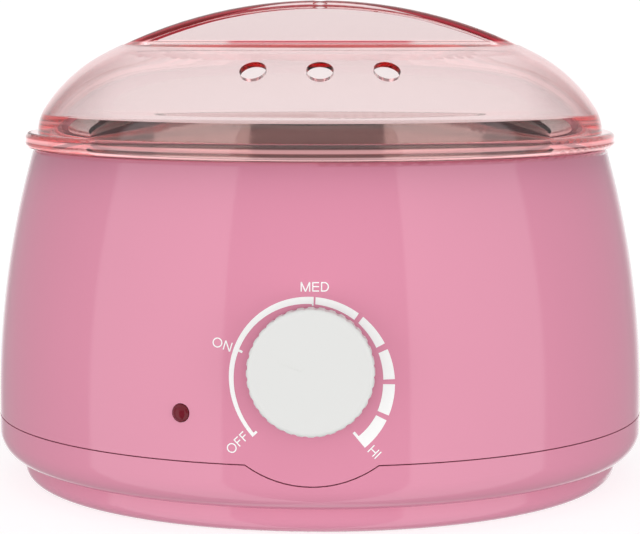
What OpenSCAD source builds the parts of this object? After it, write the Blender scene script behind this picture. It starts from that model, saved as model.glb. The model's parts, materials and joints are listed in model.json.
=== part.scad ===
// Table-top wax warmer with a lift-out pot, a see-through lid and a dial in front.
// Millimetres. The body's axis is Z, the table is z = 0 and the dial faces -Y.

/* [Housing] */
// Widest diameter of the housing
body_d = 180; // [178:1:186]
// Height of the widest ring
belly_z = 20; // [18:0.5:22]
// Radius of the upright curve of the side
side_r = 255; // [245:5:290]
// Height of the rim that carries the lid
rim_z = 91.5; // [91:0.5:95]
// Width of the rim, from the lid's seat to the outer edge
rim_w = 1.9; // [1.6:0.1:2.2]
// Rounding of the rim's outer edge
rim_round = 1.5; // [0.8:0.1:1.8]
// Depth of the deck below the rim
deck_drop = 2.5; // [2.2:0.1:3]
// Wall of the housing mouldings
wall = 2.5; // [2:0.1:2.8]
// Height of the seam between the two mouldings
seam_z = 18.7; // [18:0.1:20]
// Width of the open seam
seam_gap = 0.3; // [0.25:0.05:0.5]

/* [Base] */
// Radius of the round between the base's side and the foot ring
base_r = 7.5; // [6.8:0.1:8]
// Height of the seam above the start of that round
base_drop = 4.7; // [4.2:0.1:5.2]
// How far the foot ring's side lies inside the widest ring
foot_in = 6.8; // [6.2:0.1:7.2]
// Width of the foot ring
foot_w = 6; // [5.4:0.1:7]
// Rounding of the foot ring's outer edge
foot_round = 3.8; // [2.5:0.1:4.2]
// Height of the floor's upper face
floor_z = 5.5; // [5:0.1:6.2]
// Height of the tongue that stands up inside the upper moulding
tongue_h = 4; // [3:0.5:5]
// Thickness of that tongue
tongue_t = 1.8; // [1.5:0.1:2.2]
// Number of slots in the floor
vent_count = 12; // [8:1:16]
// Width of each slot
vent_w = 3; // [2:0.5:3.5]
// Length of each slot
vent_l = 18; // [12:1:22]
// How far the slots end inside the ring of pads
vent_gap = 16; // [14:1:20]
// Radius of each rubber pad
pad_r = 7; // [5:0.5:8]
// How far the middles of the pads lie inside the widest ring
pad_in = 28; // [25:1:32]

/* [Posts and screws] */
// How far the screw posts lie inside the widest ring
post_in = 20; // [19:0.5:21]
// Radius of the posts
post_r = 4.6; // [4.2:0.1:5]
// Height of the upper posts' top ends
post_top_z = 34; // [31:0.5:36]
// Thickness of the ribs that tie the posts to the wall
rib_t = 3; // [2:0.5:4]
// Radius of the screws' shanks
screw_r = 1.75; // [1.5:0.05:2]
// Radius of the screws' heads
screw_head_r = 3.3; // [3:0.1:3.5]
// Height of the screws' heads
screw_head_h = 2.4; // [2:0.1:3]
// Height of the face in the base that the heads bear on
screw_seat_z = 8; // [7:0.5:10]

/* [Pot and well] */
// Room from the pot's side to the housing's widest ring
pot_room = 25.7; // [23:0.1:29]
// Height of the pot's rolled edge above the rim
pot_proud = 8.5; // [6:0.5:10]
// Depth of the pot
pot_depth = 60; // [56:0.5:62]
// Sheet thickness of the pot
pot_t = 1.2; // [1:0.1:1.6]
// Radius of the pot's rolled edge
pot_bead_r = 1.3; // [1:0.1:1.6]
// Inner radius of the bend at the pot's bottom
pot_bend_r = 7; // [5:0.5:9]
// Room between the pot and the well
pot_gap = 1; // [0.6:0.1:1.5]
// Sheet thickness of the well
well_t = 1.2; // [1:0.1:1.5]
// Width of the well's flange, from the wall outwards
well_flange_w = 5.5; // [5:0.5:6.5]
// Thickness of the ring below that flange
seal_t = 1; // [0.8:0.1:1.2]

/* [Lid] */
// Thickness of the lid
lid_t = 1.6; // [1.4:0.1:2]
// Height of the lid's flange
flange_h = 4.2; // [3:0.1:5]
// How far the flange stands out over the housing
flange_out = 2.2; // [1.5:0.1:3]
// Rounding of the flange's outer edges
flange_round = 1.5; // [0.8:0.1:1.5]
// How far the skirt above the flange stands outside the lip
skirt_step = 0.9; // [0.7:0.1:1.2]
// Radius of the corner above the flange
corner_r = 12; // [10:0.5:14]
// Tilt from upright where the corner passes into the shoulder
corner_tilt = 57; // [54:1:60]
// Radius of the shoulder
shoulder_r = 44; // [42:1:48]
// Radius of the crown, which the handle's crest follows
crown_r = 129; // [124:1:140]
// Depth of the finger recesses below the crown's top
recess_drop = 12.5; // [11:0.5:13.5]
// Thickness of the handle below its crest
fin_w = 8; // [7.5:0.5:10]
// Growth of the handle's half thickness down to its foot
fin_draft = 0.5; // [0.3:0.1:1]
// Fillet along the handle's foot
fin_foot_r = 1.2; // [0.8:0.1:2]
// Radius of the dimple in the middle of the crest
gate_r = 2; // [1.5:0.1:2.2]
// Depth of that dimple
gate_depth = 1; // [0.6:0.1:1.1]
// Radius of the steam holes
steam_r = 3.4; // [2.5:0.1:4]
// Tilt of the steam holes from upright
steam_tilt = 37; // [34:0.5:42]
// Angle between the steam holes
steam_pitch = 14.7; // [12:0.1:18]
// Length of the lip that centres the lid
lip_h = 1.6; // [1:0.1:1.8]
// Thickness of that lip
lip_t = 1.7; // [1.5:0.1:2]
// Turn of the loose lid about the axis
lid_turn = 1.3; // [-5:0.1:5]

/* [Dial] */
// Height of the knob's axis at the wall
knob_z = 42; // [41:0.2:44]
// Radius of the round field that dips below the seam
field_r = 28.4; // [28:0.1:30]
// Radius of the knob
knob_r = 15.3; // [14:0.1:17]
// How far the knob stands out from the wall
knob_out = 11; // [10:0.5:13]
// Room between the knob and the wall
knob_gap = 0.6; // [0.4:0.1:1]
// Rounding of the knob's front edge
knob_round = 1.2; // [0.6:0.1:1.5]
// Thickness of the knob's skirt and face
knob_t = 2.2; // [1.8:0.1:2.6]
// Number of flutes round the knob
flute_count = 36; // [24:2:44]
// Radius of each flute
flute_r = 1.1; // [0.9:0.1:1.3]
// Depth of each flute
flute_depth = 0.3; // [0.2:0.05:0.6]
// Where the pointer stands, counted from the right
pointer_angle = 160.5; // [150:0.5:170]
// Radius of the thermostat's spindle
spindle_r = 3; // [2.5:0.1:3.2]
// Running clearance of the spindle in its bush
spindle_gap = 0.05; // [0.03:0.01:0.08]
// Radius of the threaded bush
bush_r = 5; // [4.6:0.1:5.4]
// Width of the thermostat
stat_w = 24; // [22:0.5:25]
// Height of the thermostat
stat_h = 22; // [20:0.5:23]
// Depth of the thermostat
stat_d = 10.5; // [9:0.5:11]

/* [Lamp] */
// Angle of the lamp to the left of the dial
lamp_angle = 21; // [18:0.2:26]
// Height of the lamp
lamp_z = 30.5; // [29:0.1:33]
// Radius of the lens where it comes out of the wall
lens_r = 2.2; // [2:0.1:2.8]
// Height of the lens over the wall
lens_h = 1.5; // [1:0.1:1.9]

/* [Heater] */
// How far the heating plate's edge lies inside the well's side
plate_in = 14.5; // [11:0.5:17]
// Thickness of the heating plate
plate_t = 6; // [5:0.5:7]
// How far the element's ring lies inside the plate's edge
element_in = 14; // [12:0.5:16]
// Radius of the element's tube
element_r = 3.2; // [2.8:0.1:3.4]
// How far the heat shield's edge lies inside the well's side
shield_in = 8.5; // [7.5:0.5:12]
// Thickness of the heat shield
shield_t = 0.8; // [0.6:0.1:1]
// Height of the heat shield's turned-up edge
shield_edge = 5; // [3:0.5:7]
// Height of the strap's upper face
strap_z = 20; // [19.5:0.1:20.5]
// Thickness of the strap
strap_t = 2; // [1.5:0.1:2.2]
// Width of the strap
strap_w = 14; // [12:0.5:16]
// Radius of the stud under the heating plate
stud_r = 3; // [2.5:0.1:3]

/* [Cord inlet] */
// Radius of the cord's bore through the gland
cord_r = 3.2; // [2.8:0.1:3.4]
// Radius of the gland's neck
gland_neck_r = 5; // [4.6:0.1:5.4]
// Radius of the gland's flanges
gland_flange_r = 7.5; // [7:0.1:8]
// Thickness of the gland's flanges
gland_flange_t = 2; // [1.6:0.1:2.4]

/* [Hidden] */
$fa = 2;
$fs = 0.4;

// Clearances
fit = 0.3;
screw_fit = 0.15;
over = 1;

// Colours
pink = "#e392ad";
clear_pink = "#e8b9bb";
alloy = "#b7b7b9";
steel = "#9a9ca0";
dark = "#3a3a3d";
white = "#ebebe8";
red = "#7c1022";
brown = "#7a4a2a";
blue = "#2f5fa8";

// Housing: radius of the side at a height, and of its inner face
body_r = body_d / 2;
function side_x(z, inset = 0) = body_r - side_r + sqrt(pow(side_r - inset, 2) - pow(z - belly_z, 2));
function side_tilt(z) = asin((z - belly_z) / side_r);
rim_r = side_x(rim_z);
rim_in_r = rim_r - rim_w;
deck_z = rim_z - deck_drop;
round_x = side_x(rim_z - rim_round, rim_round);
round_z = belly_z + (rim_z - rim_round - belly_z) * side_r / (side_r - rim_round);

// Base
foot_r = body_r - foot_in;
pad_ring_r = body_r - pad_in;
vent_out = pad_ring_r - vent_gap;
vent_in = vent_out - vent_l;
post_ring_r = body_r - post_in;
base_top_z = seam_z - seam_gap;
base_arc_z = seam_z - base_drop;
crease_z = base_arc_z - sqrt(pow(base_r, 2) - pow(max(base_r - foot_in, 0), 2));
tongue_r = side_x(seam_z, wall) - fit;
tongue_top_z = seam_z + tongue_h;
tongue_root_z = crease_z + wall + over;
pillar_top_z = seam_z + fit;
pillar_r = post_r + 0.4;
floor_under_z = floor_z - wall;
post_angles = [45, 135, 225, 315];
pad_angles = [0, 90, 180, 270];
pad_ring_wall = 1.6;
pad_round = 0.8;
screw_top_z = post_top_z - 2 * screw_r;

// Pot and well
pot_r = body_r - pot_room;
pot_rim_z = rim_z + pot_proud;
pot_bottom_z = pot_rim_z - pot_depth;
well_in_r = pot_r + pot_gap;
well_r = well_in_r + well_t;
well_floor_z = pot_bottom_z - fit;
well_under_z = well_floor_z - well_t;
well_flange_z = deck_z + seal_t;
deck_hole_r = well_r + fit;

// Lid: the corner, shoulder and crown are arcs that run smoothly into each other
lid_seat_z = rim_z + fit;
lip_r = rim_in_r - fit;
skirt_r = lip_r + skirt_step;
corner_z = lid_seat_z + flange_h;
corner_x = skirt_r - corner_r;
shoulder_x = corner_x - (shoulder_r - corner_r) * sin(corner_tilt);
shoulder_z = corner_z - (shoulder_r - corner_r) * cos(corner_tilt);
crown_tilt = asin(shoulder_x / (crown_r - shoulder_r));
crown_z = shoulder_z - (crown_r - shoulder_r) * cos(crown_tilt);
lid_top_z = crown_z + crown_r;
recess_z = lid_top_z - recess_drop;
blend = 0.004;
crest_sink = 0.2;
crest_r = fin_w / 2 + fin_draft + fin_foot_r + fit;
crest_ring_r = crown_r - crest_sink - crest_r;
gate_ball_r = (pow(gate_r, 2) + pow(gate_depth, 2)) / (2 * gate_depth);
gate_ball_z = lid_top_z - crest_sink - gate_depth + gate_ball_r;

// Dial: heights are counted outwards from the wall along the knob's axis
knob_face = knob_out;
spot_r = knob_r - knob_t - 1.5;
spot_depth = 0.7;
boss_r = 13;
boss_in = wall + 2.5;
nut_h = 2.4;
nut_across = 14;
bush_end = nut_h + 0.9;
hub_r = spindle_r + 2.4;
hub_back = bush_end + 0.5;
flat_x = spindle_r * 0.6;
spindle_end = knob_face - knob_t - fit;
spindle_in = stat_d - 2.5;
pointer_in = 2;
pointer_l = 5;
pointer_w = 0.7;
pointer_depth = 0.15;
tab_w = 4.8;
tab_t = 0.8;
tab_h = 7;
tab_x = 8;

// Lamp
lens_dome_r = (pow(lens_r, 2) + pow(lens_h, 2)) / (2 * lens_h);
lens_flange_r = lens_r + 1.3;
lens_flange_t = 1;
lens_seat = wall + fit;
holder_r = lens_flange_r + 0.6;
holder_end = lens_seat + lens_flange_t + 9;
neon_r = 1.8;

// Heater
plate_r = well_r - plate_in;
plate_z = well_under_z - plate_t;
shield_r = well_r - shield_in;
element_ring_r = plate_r - element_in;
element_gap_angle = 30;
pin_r = 1.5;
pin_end_z = 12;
pin_room = 2;
pin_angle = 90 - element_gap_angle / 2 - 3;
strap_under_z = strap_z - strap_t;
stud_nut_h = 5;
stud_nut_across = 10;
strap_post_angles = [0, 180];
fuse_r = 2;
fuse_l = 12;
fuse_in = 16;
fuse_y = fuse_in - element_ring_r;
fuse_z = plate_z - fuse_r - fit;
clip_t = 0.8;
clip_w = 7;
clip_foot = 6;
clip_screw_r = 1.4;
clip_screw_depth = 4;
clip_head_r = 2.4;
clip_head_h = 1.6;
clip_screw_x = fuse_r + clip_t + clip_foot / 2;

// Cord inlet: the faces of the two flanges that hold the wall between them
gland_in_y = sqrt(pow(side_x(seam_z + gland_flange_r, wall), 2) - pow(gland_flange_r, 2)) - fit / 2;
gland_out_y = body_r + fit / 2;

// Terminal block
block_in = 32;
block_y = body_r - block_in;
block_l = 30;
block_w = 13;
block_h = 8.5;
block_boss_h = 3;
block_z = floor_z + block_boss_h;
block_screw_x = 11.5;
block_boss_r = 3.2;
block_screw_r = 1.4;
block_head_r = 2.8;
block_head_h = 1.8;
block_clamp_x = 5;
block_clamp_r = 2.2;
block_clamp_depth = 3;
block_port_z = block_z + 4;
port_x = 9;

// Wires
wire_r = 1.1;
port_y = block_y - block_w / 2;
stat_tab_y = -side_x(knob_z) + (boss_in + stat_d / 2) * cos(side_tilt(knob_z))
    - (stat_h / 2 + tab_h) * sin(side_tilt(knob_z));
stat_tab_z = knob_z - (stat_h / 2 + tab_h) * cos(side_tilt(knob_z))
    - (boss_in + stat_d / 2) * sin(side_tilt(knob_z));
pin_x = element_ring_r * cos(pin_angle);
pin_y = element_ring_r * sin(pin_angle);
over_edge_z = strap_z + shield_edge + 2;
line_route = [[-port_x, port_y - fit, block_port_z], [-port_x, port_y - 4, block_port_z],
    [-14, port_y - 11.5, 10.5], [-26, 12, 9.5], [-26, -30, 9.5], [-13, stat_tab_y + 18.4, 12],
    [-tab_x, stat_tab_y + 1, stat_tab_z - 6], [-tab_x, stat_tab_y, stat_tab_z - fit]];
switched_route = [[tab_x, stat_tab_y, stat_tab_z - fit], [tab_x, stat_tab_y + 3, stat_tab_z - 5.5],
    [10, stat_tab_y + 12.4, stat_tab_z - 4], [13, -shield_r - 3, over_edge_z],
    [14, 8 - shield_r, over_edge_z - 0.5], [14, fuse_y - 10, over_edge_z - 1],
    [12, fuse_y - 1, fuse_z - 0.5], [fuse_l / 2 + fit, fuse_y, fuse_z]];
fuse_route = [[-fuse_l / 2 - fit, fuse_y, fuse_z], [-12, fuse_y + 1, fuse_z - 0.5],
    [-20, fuse_y + 14, over_edge_z - 1], [-21, pin_y - 22, over_edge_z - 2],
    [-pin_x - 3.3, pin_y - 7, over_edge_z - 2], [-pin_x, pin_y - pin_r - wire_r - fit, over_edge_z - 2]];
neutral_route = [[port_x, port_y - fit, block_port_z], [port_x, port_y - 3, block_port_z],
    [pin_x, pin_y + pin_r + 3, 13.5], [pin_x, pin_y + pin_r + fit, 13.5]];
lamp_wire_x = 1.3;
lamp_back_r = side_x(lamp_z) - holder_end - 2 * fit;
lamp_back = [-lamp_back_r * sin(lamp_angle), -lamp_back_r * cos(lamp_angle),
    lamp_z - holder_end * sin(side_tilt(lamp_z))];
lamp_inward = [sin(lamp_angle), cos(lamp_angle), 0];
lamp_side = [cos(lamp_angle), -sin(lamp_angle), -1];
lamp_route = [lamp_back, lamp_back + 3 * lamp_inward, lamp_back + 4 * lamp_inward + [-3, 0, -6],
    [-0.42 * body_r, -0.51 * body_r, 12], [-0.55 * body_r, 0, 10], [-0.47 * body_r, 0.4 * body_r, 10.5],
    [-26, block_y - 2, 12], [-block_l / 2 - lamp_wire_x - fit, block_y, block_port_z]];

function unit(v) = v / norm(v);
function bend(a, b, c, d, t) = 0.5 * (2 * b + (c - a) * t + (2 * a - 5 * b + 4 * c - d) * t * t
    + (3 * b - a - 3 * c + d) * t * t * t);
function smooth(p, steps) = let (last = len(p) - 1) concat([for (i = [0 : last - 1]) for (k = [0 : steps - 1])
    bend(p[max(i - 1, 0)], p[i], p[i + 1], p[min(i + 2, last)], k / steps)], [p[last]]);
function carried(t, i, u) = i == len(t) ? []
    : let (v = unit(u - (u * t[i]) * t[i])) concat([v], carried(t, i + 1, v));

// A wire of round section along smoothed points
module wire(points, r, sides = 8, steps = 4) {
    path = smooth(points, steps);
    last = len(path) - 1;
    along = [for (i = [0 : last]) unit(path[min(i + 1, last)] - path[max(i - 1, 0)])];
    first = abs(along[0].x) < 0.8 ? [1, 0, 0] : [0, 0, 1];
    across = carried(along, 0, first);
    ring = [for (i = [0 : last]) for (k = [0 : sides - 1])
        path[i] + r * (cos(360 * k / sides) * across[i] + sin(360 * k / sides) * cross(along[i], across[i]))];
    skin = [for (i = [0 : last - 1]) for (k = [0 : sides - 1]) let (n = (k + 1) % sides)
        each [[i * sides + k, (i + 1) * sides + n, i * sides + n],
            [i * sides + k, (i + 1) * sides + k, (i + 1) * sides + n]]];
    caps = [for (k = [1 : sides - 2]) each [[0, k, k + 1],
        [last * sides, last * sides + k + 1, last * sides + k]]];
    polyhedron(points = ring, faces = concat(skin, caps));
}

// Places: Z of the frame points out of the wall
module knob_frame() translate([0, -side_x(knob_z), knob_z]) rotate([90 - side_tilt(knob_z), 0, 0]) children();
module lamp_frame() rotate([0, 0, -lamp_angle]) translate([0, -side_x(lamp_z), lamp_z])
    rotate([90 - side_tilt(lamp_z), 0, 0]) children();
module gland_frame(y) translate([0, y, seam_z]) rotate([-90, 0, 0]) children();

// Tube, and a part of a plane right of the axis
module tube(r, hole_r, h) difference() {
    cylinder(r = r, h = h);
    translate([0, 0, -over]) cylinder(r = hole_r, h = h + 2 * over);
}
module box2d(x0, x1, z0, z1) translate([x0, z0]) square([x1 - x0, z1 - z0]);
module disc2d(x, z, r) intersection() {
    translate([x, z]) circle(r = r);
    box2d(0, x + r + over, z - r - over, z + r + over);
}

// Inside of the side's curve between two heights
module side_band(inset, z0, z1) intersection() {
    disc2d(body_r - side_r, belly_z, side_r - inset);
    box2d(0, body_d, z0, z1);
}

// The round field of the dial, as a bar along the front
module field_bar(r) translate([0, 0, knob_z]) rotate([90, 0, 0]) cylinder(r = r, h = body_d);

module upper_section() difference() {
    union() {
        side_band(0, 0, round_z);
        box2d(0, round_x, round_z - over, rim_z);
        disc2d(round_x, rim_z - rim_round, rim_round);
    }
    side_band(wall, -over, deck_z - wall);
    box2d(0, rim_in_r, deck_z, rim_z + over);
    box2d(0, deck_hole_r, deck_z - wall - over, rim_z + over);
}

// Screw post that a rib ties to the wall
module post(z0, rib_z) {
    translate([post_ring_r, 0, z0]) cylinder(r = post_r, h = post_top_z - z0);
    translate([post_ring_r, -rib_t / 2, rib_z])
        cube([side_x(post_top_z, wall / 2) - post_ring_r, rib_t, post_top_z - rib_z]);
}

module upper_housing() color(pink) difference() {
    union() {
        difference() {
            rotate_extrude() upper_section();
            difference() {
                translate([0, 0, -over]) cylinder(r = body_d, h = seam_z + over);
                field_bar(field_r);
            }
        }
        for (a = post_angles) rotate([0, 0, a]) post(pillar_top_z, tongue_top_z + fit);
        for (a = strap_post_angles) rotate([0, 0, a]) post(strap_z, tongue_top_z + fit);
        knob_frame() translate([0, 0, -boss_in]) cylinder(r = boss_r, h = boss_in - wall / 2);
    }
    for (a = post_angles) rotate([0, 0, a]) translate([post_ring_r, 0, 0])
        cylinder(r = screw_r + screw_fit, h = screw_top_z + over);
    for (a = strap_post_angles) rotate([0, 0, a]) translate([post_ring_r, 0, 0])
        cylinder(r = screw_r + screw_fit, h = screw_top_z + over);
    knob_frame() {
        translate([0, 0, -boss_in - over]) cylinder(r = bush_r + screw_fit, h = boss_in + 2 * over);
        translate([0, 0, -spot_depth]) cylinder(r = spot_r, h = spot_depth + over);
    }
    lamp_frame() translate([0, 0, -2 * wall]) cylinder(r = lens_r + screw_fit, h = 3 * wall);
    gland_frame(pad_ring_r) cylinder(r = gland_neck_r + fit, h = body_r);
}

// Outside of the base above its foot ring, or its inside with an inset
module base_bulge(inset) intersection() {
    union() {
        disc2d(body_r - base_r, base_arc_z, base_r - inset);
        box2d(0, body_r - inset, base_arc_z, base_top_z);
        box2d(0, body_r - base_r, base_arc_z - base_r + inset, base_top_z);
    }
    box2d(0, body_d, 0, base_top_z);
}

module base_section() difference() {
    union() {
        base_bulge(0);
        box2d(0, foot_r, foot_round, crease_z + over);
        box2d(0, foot_r - foot_round, 0, foot_round + over);
        disc2d(foot_r - foot_round, foot_round, foot_round);
        box2d(tongue_r - tongue_t, tongue_r, tongue_root_z, tongue_top_z);
    }
    difference() {
        union() {
            intersection() {
                base_bulge(wall);
                box2d(0, body_r, crease_z + wall, seam_z);
            }
            box2d(0, body_r - wall, base_arc_z, seam_z);
            box2d(0, foot_r - wall, floor_z, seam_z);
        }
        box2d(tongue_r - tongue_t, body_r, tongue_root_z, seam_z + over);
    }
    box2d(0, foot_r - foot_w, -over, floor_under_z);
}

// Slot with round ends in the floor
module vent_slot() {
    translate([vent_in, -vent_w / 2, 0]) cube([vent_out - vent_in, vent_w, floor_z + over]);
    for (x = [vent_in, vent_out]) translate([x, 0, 0]) cylinder(r = vent_w / 2, h = floor_z + over);
}

module base_housing() color(pink) difference() {
    union() {
        rotate_extrude() base_section();
        for (a = post_angles) rotate([0, 0, a]) translate([post_ring_r, 0, floor_under_z])
            cylinder(r = pillar_r, h = pillar_top_z - floor_under_z);
        for (a = pad_angles) rotate([0, 0, a]) translate([pad_ring_r, 0, floor_under_z / 2])
            tube(pad_r + fit + pad_ring_wall, pad_r + fit, floor_under_z / 2 + wall / 2);
        for (x = [-block_screw_x, block_screw_x]) translate([x, block_y, floor_z - over])
            cylinder(r = block_boss_r, h = block_boss_h + over);
    }
    intersection() {
        field_bar(field_r + seam_gap);
        translate([0, 0, floor_z]) tube(body_d, tongue_r, base_top_z - floor_z + over);
    }
    for (a = post_angles) rotate([0, 0, a]) translate([post_ring_r, 0, -over]) {
        cylinder(r = screw_head_r + fit, h = screw_seat_z + over);
        cylinder(r = screw_r + fit, h = pillar_top_z + 2 * over);
    }
    for (i = [0 : vent_count - 1]) rotate([0, 0, (i + 0.5) * 360 / vent_count]) vent_slot();
    for (x = [-block_screw_x, block_screw_x]) translate([x, block_y, floor_under_z + over])
        cylinder(r = block_screw_r + screw_fit, h = block_z);
    gland_frame(pad_ring_r) {
        cylinder(r = gland_neck_r + fit, h = body_r);
        cylinder(r = gland_flange_r + fit, h = body_r - wall - pad_ring_r);
    }
}

module rubber_pads() color(dark) for (a = pad_angles) rotate([0, 0, a]) translate([pad_ring_r, 0, 0])
    rotate_extrude() {
        box2d(0, pad_r - pad_round, 0, floor_under_z);
        box2d(0, pad_r, pad_round, floor_under_z);
        disc2d(pad_r - pad_round, pad_round, pad_round);
    }

// Pan head screw that points up, with its head's bearing face at z = 0
module screw(r, length, head_r, head_h) {
    cylinder(r = r, h = length);
    rotate_extrude() intersection() {
        disc2d(0, head_r * head_r / (2 * head_h) - head_h / 2, head_r * head_r / (2 * head_h) + head_h / 2);
        box2d(0, head_r, -head_h, 0);
    }
}

module base_screws() color(steel) for (a = post_angles) rotate([0, 0, a])
    translate([post_ring_r, 0, screw_seat_z])
        screw(screw_r, screw_top_z - screw_seat_z, screw_head_r, screw_head_h);

// Cup of sheet metal from its axis: outside radius, floor height, top height, bend at the bottom
module cup_section(r, z0, z1, t, bend_r) difference() {
    union() {
        box2d(0, r, z0 + bend_r + t, z1);
        box2d(0, r - bend_r - t, z0, z1);
        disc2d(r - bend_r - t, z0 + bend_r + t, bend_r + t);
    }
    box2d(0, r - t, z0 + bend_r + t, z1 + over);
    box2d(0, r - t - bend_r, z0 + t, z1 + over);
    disc2d(r - t - bend_r, z0 + t + bend_r, bend_r);
}

module heater_well() color(alloy) rotate_extrude() {
    cup_section(well_r, well_under_z, well_flange_z + well_t, well_t, pot_bend_r);
    box2d(well_in_r, well_r + well_flange_w, well_flange_z, well_flange_z + well_t);
}

module well_seal_ring() color(dark) translate([0, 0, deck_z])
    tube(well_r + well_flange_w - fit, deck_hole_r + fit, seal_t);

module wax_pot() color(alloy) rotate_extrude() {
    cup_section(pot_r, pot_bottom_z, pot_rim_z - pot_bead_r, pot_t, pot_bend_r);
    disc2d(pot_r - pot_t + pot_bead_r, pot_rim_z - pot_bead_r, pot_bead_r);
}

module heating_plate() color(alloy) difference() {
    union() {
        translate([0, 0, plate_z]) cylinder(r = plate_r, h = plate_t);
        translate([0, 0, pin_end_z]) cylinder(r = stud_r, h = plate_z - pin_end_z + over);
    }
    rotate_extrude() translate([element_ring_r, plate_z]) circle(r = element_r + screw_fit);
    for (x = [-clip_screw_x, clip_screw_x]) translate([0, fuse_y + x, plate_z - over])
        cylinder(r = clip_screw_r + screw_fit, h = over + clip_screw_depth + fit);
}

module heating_element() color(dark) {
    rotate([0, 0, 90 + element_gap_angle / 2]) rotate_extrude(angle = 360 - element_gap_angle)
        translate([element_ring_r, plate_z]) circle(r = element_r);
    for (x = [-pin_x, pin_x]) translate([x, pin_y, pin_end_z]) cylinder(r = pin_r, h = plate_z - pin_end_z);
}

module heat_shield() color(alloy) difference() {
    rotate_extrude() {
        box2d(0, shield_r, strap_z, strap_z + shield_t);
        box2d(shield_r - shield_t, shield_r, strap_z, strap_z + shield_edge);
    }
    translate([0, 0, strap_z - over]) cylinder(r = stud_r + fit, h = shield_t + 2 * over);
    for (x = [-pin_x, pin_x]) translate([x, pin_y, strap_z - over])
        cylinder(r = pin_r + pin_room, h = shield_t + 2 * over);
}

module clamp_strap() color(steel) difference() {
    union() {
        translate([-post_ring_r, -strap_w / 2, strap_under_z]) cube([2 * post_ring_r, strap_w, strap_t]);
        for (x = [-post_ring_r, post_ring_r]) translate([x, 0, strap_under_z])
            cylinder(r = strap_w / 2, h = strap_t);
    }
    translate([0, 0, strap_under_z - over]) cylinder(r = stud_r + fit, h = strap_t + 2 * over);
    for (x = [-post_ring_r, post_ring_r]) translate([x, 0, strap_under_z - over])
        cylinder(r = screw_r + fit, h = strap_t + 2 * over);
}

module strap_screws() color(steel) for (x = [-post_ring_r, post_ring_r]) translate([x, 0, strap_under_z])
    screw(screw_r, screw_top_z - strap_under_z, screw_head_r, screw_head_h);

// Six-sided nut
module nut(across, hole_r, h) difference() {
    cylinder(r = across / sqrt(3), h = h, $fn = 6);
    translate([0, 0, -over]) cylinder(r = hole_r, h = h + 2 * over);
}

module strap_nut() color(steel) translate([0, 0, strap_under_z - stud_nut_h])
    nut(stud_nut_across, stud_r + screw_fit, stud_nut_h);

module thermal_fuse() color(white) translate([-fuse_l / 2, fuse_y, fuse_z]) rotate([0, 90, 0])
    cylinder(r = fuse_r, h = fuse_l);

module fuse_clip() color(steel) translate([-clip_w / 2, fuse_y, fuse_z]) rotate([90, 0, 90]) difference() {
    linear_extrude(clip_w) difference() {
        union() {
            circle(r = fuse_r + fit / 2 + clip_t);
            translate([-fuse_r - fit / 2 - clip_t, 0])
                square([2 * (fuse_r + fit / 2 + clip_t), plate_z - fuse_z]);
            translate([-clip_screw_x - clip_foot / 2, plate_z - fuse_z - clip_t])
                square([2 * clip_screw_x + clip_foot, clip_t]);
        }
        circle(r = fuse_r + fit / 2);
        translate([-fuse_r - fit / 2, 0]) square([2 * fuse_r + fit, plate_z]);
    }
    for (x = [-clip_screw_x, clip_screw_x]) translate([x, 0, clip_w / 2]) rotate([-90, 0, 0])
        cylinder(r = clip_screw_r + screw_fit, h = plate_z);
}

module fuse_clip_screws() color(steel) for (x = [-clip_screw_x, clip_screw_x])
    translate([0, fuse_y + x, plate_z - clip_t])
        screw(clip_screw_r, clip_t + clip_screw_depth, clip_head_r, clip_head_h);

module thermostat_body() color(brown) knob_frame() difference() {
    translate([-stat_w / 2, -stat_h / 2, -boss_in - stat_d]) cube([stat_w, stat_h, stat_d]);
    translate([0, 0, -boss_in - spindle_in - fit]) cylinder(r = spindle_r + fit, h = stat_d);
}

module thermostat_tabs() color(steel) knob_frame() for (x = [-tab_x, tab_x])
    translate([x - tab_w / 2, -stat_h / 2 - tab_h, -boss_in - stat_d / 2 - tab_t / 2])
        cube([tab_w, tab_h, tab_t]);

module thermostat_bush() color(steel) knob_frame() translate([0, 0, -boss_in])
    tube(bush_r, spindle_r + spindle_gap, boss_in + bush_end);

module thermostat_nut() color(steel) knob_frame() translate([0, 0, -spot_depth])
    nut(nut_across, bush_r + screw_fit, nut_h);

// Round bar with a flat
module flatted(r, flat, h) linear_extrude(h) intersection() {
    circle(r = r);
    translate([-2 * r, -2 * r]) square([2 * r + flat, 4 * r]);
}

module thermostat_spindle() color(steel) knob_frame() rotate([0, 0, pointer_angle]) {
    translate([0, 0, -boss_in - spindle_in]) cylinder(r = spindle_r, h = boss_in + spindle_in + hub_back);
    translate([0, 0, hub_back]) flatted(spindle_r, flat_x, spindle_end - hub_back);
}

module knob_section() difference() {
    union() {
        box2d(0, knob_r, knob_gap, knob_face - knob_round);
        box2d(0, knob_r - knob_round, knob_gap, knob_face);
        disc2d(knob_r - knob_round, knob_face - knob_round, knob_round);
    }
    box2d(hub_r, knob_r - knob_t, 0, knob_face - knob_t);
    box2d(0, hub_r + over, 0, hub_back);
}

module control_knob() color(white) knob_frame() rotate([0, 0, pointer_angle]) difference() {
    rotate_extrude() knob_section();
    for (i = [0 : flute_count - 1]) rotate([0, 0, (i + 0.5) * 360 / flute_count])
        translate([knob_r + flute_r - flute_depth, 0, 0]) cylinder(r = flute_r, h = knob_face + over);
    translate([0, 0, hub_back - over])
        flatted(spindle_r + screw_fit, flat_x + screw_fit, spindle_end - hub_back + over + fit / 2);
    translate([pointer_in, -pointer_w / 2, knob_face - pointer_depth])
        cube([pointer_l, pointer_w, over]);
}

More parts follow.
